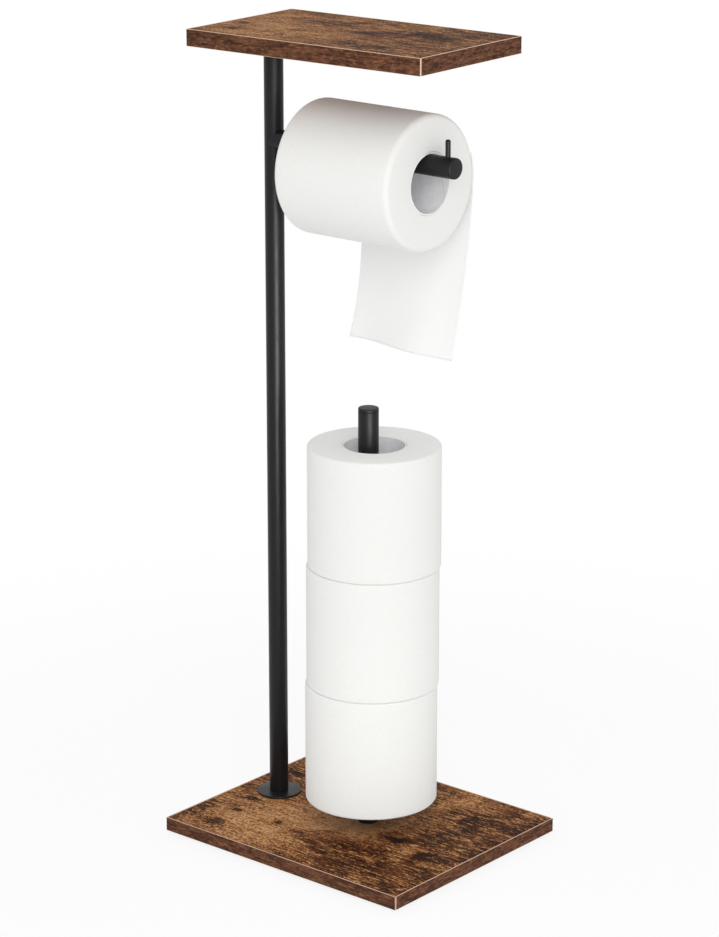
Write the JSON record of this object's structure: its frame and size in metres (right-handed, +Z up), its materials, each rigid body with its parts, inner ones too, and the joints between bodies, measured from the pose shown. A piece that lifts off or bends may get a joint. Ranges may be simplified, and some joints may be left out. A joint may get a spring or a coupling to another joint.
{
  "type": "toilet roll holder",
  "caption": "Free-standing toilet roll holder: wood base and shelf on a black pole, a side arm with a roll in use, and a post with a stack of spare rolls.",
  "frame": {"origin": "on the floor, below the middle of the base board", "axes": "+Z up; +X along the base board, from the pole towards the open end of the arm; +Y to the back, where the paper hangs down"},
  "size_m": [0.255, 0.21, 0.68],
  "materials": {
    "wood_face": "satin",
    "wood_edge": "satin",
    "black_coat": "matte",
    "black_plastic": "matte",
    "zinc": "satin",
    "foam": "matte",
    "wound_tissue": "matte",
    "loose_tissue": "matte",
    "card": "matte"
  },
  "bodies": {
    "stand": {"base_board": "wood_face", "base_band_front": "wood_edge", "base_band_back": "wood_edge", "base_band_left": "wood_edge", "base_band_right": "wood_edge", "foot_front_left": "foam", "foot_front_right": "foam", "foot_back_left": "foam", "foot_back_right": "foam", "pole": "black_coat", "pole_rosette": "black_coat", "pole_bottom_insert": "zinc", "pole_top_insert": "zinc", "pole_bolt": "zinc", "pole_washer": "zinc", "shelf_board": "wood_face", "shelf_band_front": "wood_edge", "shelf_band_back": "wood_edge", "shelf_band_left": "wood_edge", "shelf_band_right": "wood_edge", "shelf_plate": "black_coat", "shelf_plate_screw": "zinc", "shelf_screw_1": "zinc", "shelf_screw_2": "zinc", "shelf_screw_3": "zinc", "shelf_screw_4": "zinc", "arm": "black_coat", "arm_end_plug": "black_plastic", "arm_insert": "zinc", "arm_screw": "zinc", "arm_screw_saddle": "zinc", "arm_hole_plug": "black_plastic", "stop_pin": "black_coat", "post": "black_coat", "post_cap": "black_plastic", "post_insert": "zinc", "post_bolt": "zinc", "post_washer": "zinc", "roll_rest": "black_coat", "roll_rest_screw": "zinc", "roll_in_use_tail": "loose_tissue"},
    "roll_in_use": {"roll_in_use_paper": "wound_tissue", "roll_in_use_core": "card"},
    "spare_roll_1": {"spare_roll_1_paper": "wound_tissue", "spare_roll_1_core": "card"},
    "spare_roll_2": {"spare_roll_2_paper": "wound_tissue", "spare_roll_2_core": "card"},
    "spare_roll_3": {"spare_roll_3_paper": "wound_tissue", "spare_roll_3_core": "card"}
  },
  "joints": [
    {"name": "roll_in_use_spin", "type": "hinge", "parent": "stand", "child": "roll_in_use", "pos_m": [-0.044, 0, 0.5698], "axis": [1, 0, 0], "continuous": true},
    {"name": "spare_roll_1_lift", "type": "slide", "parent": "stand", "child": "spare_roll_1", "axis": [0, 0, 1], "range_m": [0, 0.012]},
    {"name": "spare_roll_2_lift", "type": "slide", "parent": "spare_roll_1", "child": "spare_roll_2", "axis": [0, 0, 1], "range_m": [0, 0.012]},
    {"name": "spare_roll_3_lift", "type": "slide", "parent": "spare_roll_2", "child": "spare_roll_3", "axis": [0, 0, 1], "range_m": [0, 0.14], "deforming": ["roll_in_use_tail"]}
  ]
}
